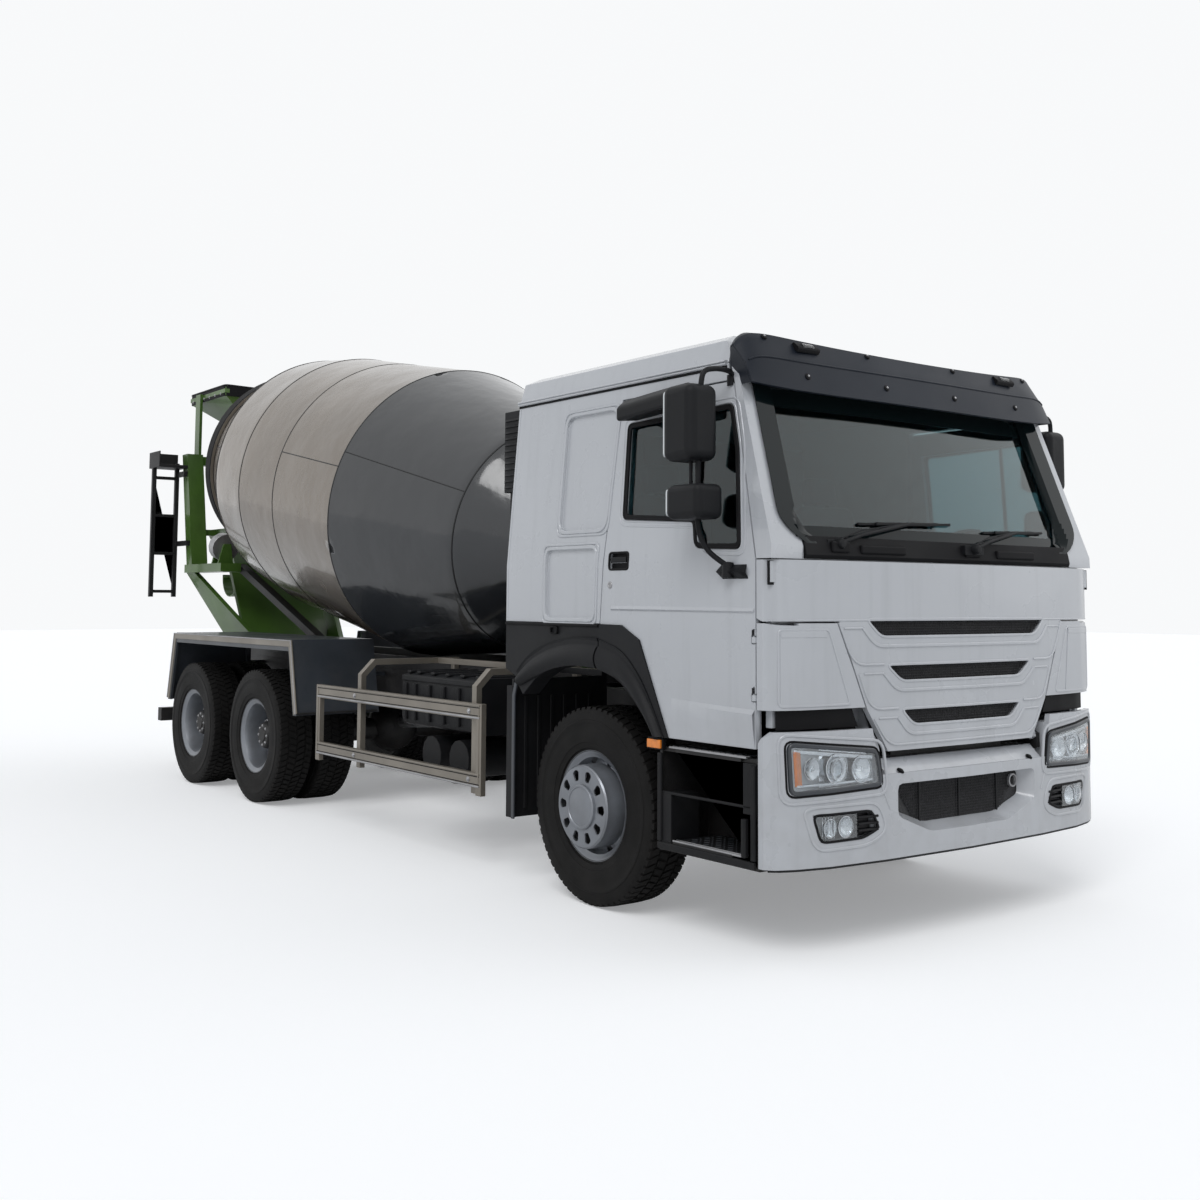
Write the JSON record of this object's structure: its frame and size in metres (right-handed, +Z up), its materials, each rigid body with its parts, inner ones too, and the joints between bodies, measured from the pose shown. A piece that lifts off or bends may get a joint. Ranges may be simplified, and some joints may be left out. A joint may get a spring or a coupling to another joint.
{
  "type": "concrete mixer truck",
  "caption": "Three-axle concrete mixer truck with a tilting sleeper cab, tilted revolving drum on rollers, hopper, discharge chute and steered front wheels",
  "frame": {"origin": "on the ground, under the middle of the whole truck", "axes": "+Z up, -Y is the direction the truck faces, +X is the truck's left side"},
  "size_m": [2.95, 9.375, 3.7966],
  "materials": {
    "cab_paint": "glossy cool white paint",
    "green_paint": "semi-gloss green paint",
    "drum_paint": "glossy taupe-grey paint",
    "chassis_black": "satin black chassis paint",
    "bright_rail": "beige-silver paint",
    "slate_plate": "dark slate paint",
    "black_plastic": "grained black plastic",
    "visor_plastic": "smoked charcoal-blue plastic",
    "bare_steel": "worn machined steel",
    "tyre_rubber": "matt black tread rubber",
    "window_glass": "tinted glass",
    "seat_fabric": "woven grey seat cloth"
  },
  "bodies": {
    "chassis": {"chassis_frame": "chassis_black", "front_axle": "chassis_black", "rear_bogie": "chassis_black", "engine_block": "bare_steel", "drive_shaft": "bare_steel", "front_bumper": "cab_paint", "fuel_tank": "bare_steel", "battery_box": "black_plastic", "water_tank": "green_paint", "step_box_right": "chassis_black", "step_box_left": "chassis_black", "side_guard_right": "bright_rail", "side_guard_left": "bright_rail", "rear_fender_right": "slate_plate", "rear_fender_left": "slate_plate", "subframe": "chassis_black", "drive_pedestal": "green_paint", "rear_pedestal": "green_paint", "hopper": "green_paint", "discharge_funnel": "green_paint", "ladder": "chassis_black"},
    "knuckle_right": {"knuckle_right": "chassis_black"},
    "knuckle_left": {"knuckle_left": "chassis_black"},
    "tie_rod": {"tie_rod": "chassis_black"},
    "front_wheel_right": {"front_wheel_right": "tyre_rubber"},
    "front_wheel_left": {"front_wheel_left": "tyre_rubber"},
    "rear_wheels_front_right": {"rear_wheels_front_right": "tyre_rubber"},
    "rear_wheels_front_left": {"rear_wheels_front_left": "tyre_rubber"},
    "rear_wheels_rear_right": {"rear_wheels_rear_right": "tyre_rubber"},
    "rear_wheels_rear_left": {"rear_wheels_rear_left": "tyre_rubber"},
    "drum": {"drum": "drum_paint", "drum_ring": "chassis_black"},
    "roller_right": {"roller_right": "bare_steel"},
    "roller_left": {"roller_left": "bare_steel"},
    "chute_swivel": {"chute_swivel": "green_paint"},
    "chute": {"chute": "green_paint"},
    "cab": {"cab_floor": "black_plastic", "cab_rear_wall": "cab_paint", "cab_front": "cab_paint", "cab_roof": "cab_paint", "windscreen": "window_glass", "visor": "visor_plastic", "dashboard": "black_plastic", "air_intake": "black_plastic", "cab_side_right": "cab_paint", "cab_side_left": "cab_paint", "arch_cladding_right": "black_plastic", "arch_cladding_left": "black_plastic", "seat_right": "seat_fabric", "seat_left": "seat_fabric"},
    "steering_wheel": {"steering_wheel": "black_plastic"},
    "front_lid": {"front_lid": "cab_paint"},
    "door_right": {"door_right": "cab_paint", "door_glass_right": "window_glass", "mirrors_right": "black_plastic"},
    "door_left": {"door_left": "cab_paint", "door_glass_left": "window_glass", "mirrors_left": "black_plastic"}
  },
  "joints": [
    {"name": "cab_tilt", "type": "hinge", "parent": "chassis", "child": "cab", "pos_m": [0, -4.6025, 0.905], "axis": [1, 0, 0], "range_deg": [0, 50]},
    {"name": "front_lid_hinge", "type": "hinge", "parent": "cab", "child": "front_lid", "pos_m": [0, -4.5875, 1.765], "axis": [-1, 0, 0], "range_deg": [0, 75]},
    {"name": "door_right_hinge", "type": "hinge", "parent": "cab", "child": "door_right", "pos_m": [-1.24, -4.4525, 1.5], "axis": [0, 0, 1], "range_deg": [0, 70]},
    {"name": "door_left_hinge", "type": "hinge", "parent": "cab", "child": "door_left", "pos_m": [1.24, -4.4525, 1.5], "axis": [0, 0, -1], "range_deg": [0, 70]},
    {"name": "steering_wheel_turn", "type": "hinge", "parent": "cab", "child": "steering_wheel", "pos_m": [0.64, -4.0425, 1.87], "axis": [0, 0.5299, 0.848], "range_deg": [-630, 630]},
    {"name": "steer_right", "type": "hinge", "parent": "chassis", "child": "knuckle_right", "pos_m": [-0.915, -3.1625, 0.52], "axis": [0, 0, 1], "range_deg": [-35, 35]},
    {"name": "steer_left", "type": "hinge", "parent": "chassis", "child": "knuckle_left", "pos_m": [0.915, -3.1625, 0.52], "axis": [0, 0, 1], "range_deg": [-35, 35]},
    {"name": "tie_rod_pivot", "type": "hinge", "parent": "knuckle_right", "child": "tie_rod", "pos_m": [-0.845, -2.9625, 0.39], "axis": [0, 0, 1], "range_deg": [-38, 38]},
    {"name": "front_wheel_right_spin", "type": "hinge", "parent": "knuckle_right", "child": "front_wheel_right", "pos_m": [-1.04, -3.1625, 0.52], "axis": [1, 0, 0], "continuous": true},
    {"name": "front_wheel_left_spin", "type": "hinge", "parent": "knuckle_left", "child": "front_wheel_left", "pos_m": [1.04, -3.1625, 0.52], "axis": [1, 0, 0], "continuous": true},
    {"name": "rear_wheels_front_right_spin", "type": "hinge", "parent": "chassis", "child": "rear_wheels_front_right", "pos_m": [-0.915, 1.2375, 0.52], "axis": [1, 0, 0], "continuous": true},
    {"name": "rear_wheels_front_left_spin", "type": "hinge", "parent": "chassis", "child": "rear_wheels_front_left", "pos_m": [0.915, 1.2375, 0.52], "axis": [1, 0, 0], "continuous": true},
    {"name": "rear_wheels_rear_right_spin", "type": "hinge", "parent": "chassis", "child": "rear_wheels_rear_right", "pos_m": [-0.915, 2.5875, 0.52], "axis": [1, 0, 0], "continuous": true},
    {"name": "rear_wheels_rear_left_spin", "type": "hinge", "parent": "chassis", "child": "rear_wheels_rear_left", "pos_m": [0.915, 2.5875, 0.52], "axis": [1, 0, 0], "continuous": true},
    {"name": "drum_spin", "type": "hinge", "parent": "chassis", "child": "drum", "pos_m": [0, -1.1625, 2.01], "axis": [0, 0.9819, 0.1894], "continuous": true},
    {"name": "roller_right_spin", "type": "hinge", "parent": "chassis", "child": "roller_right", "pos_m": [-0.6653, 3.4062, 2.084], "axis": [0, 0.9819, 0.1894], "continuous": true},
    {"name": "roller_left_spin", "type": "hinge", "parent": "chassis", "child": "roller_left", "pos_m": [0.6653, 3.4062, 2.084], "axis": [0, 0.9819, 0.1894], "continuous": true},
    {"name": "chute_swing", "type": "hinge", "parent": "chassis", "child": "chute_swivel", "pos_m": [0, 4.4875, 1.3], "axis": [0, 0, 1], "range_deg": [0, 145]},
    {"name": "chute_tilt", "type": "hinge", "parent": "chute_swivel", "child": "chute", "pos_m": [0, 4.4875, 1.56], "axis": [0, -1, 0], "range_deg": [-25, 15]}
  ],
  "couplings": [
    {"joint": "steer_left", "follows": "steer_right", "ratio": 1},
    {"joint": "tie_rod_pivot", "follows": "steer_right", "ratio": -1.077},
    {"joint": "steering_wheel_turn", "follows": "steer_right", "ratio": 18},
    {"joint": "roller_right_spin", "follows": "drum_spin", "ratio": -6.923},
    {"joint": "roller_left_spin", "follows": "drum_spin", "ratio": -6.923}
  ]
}
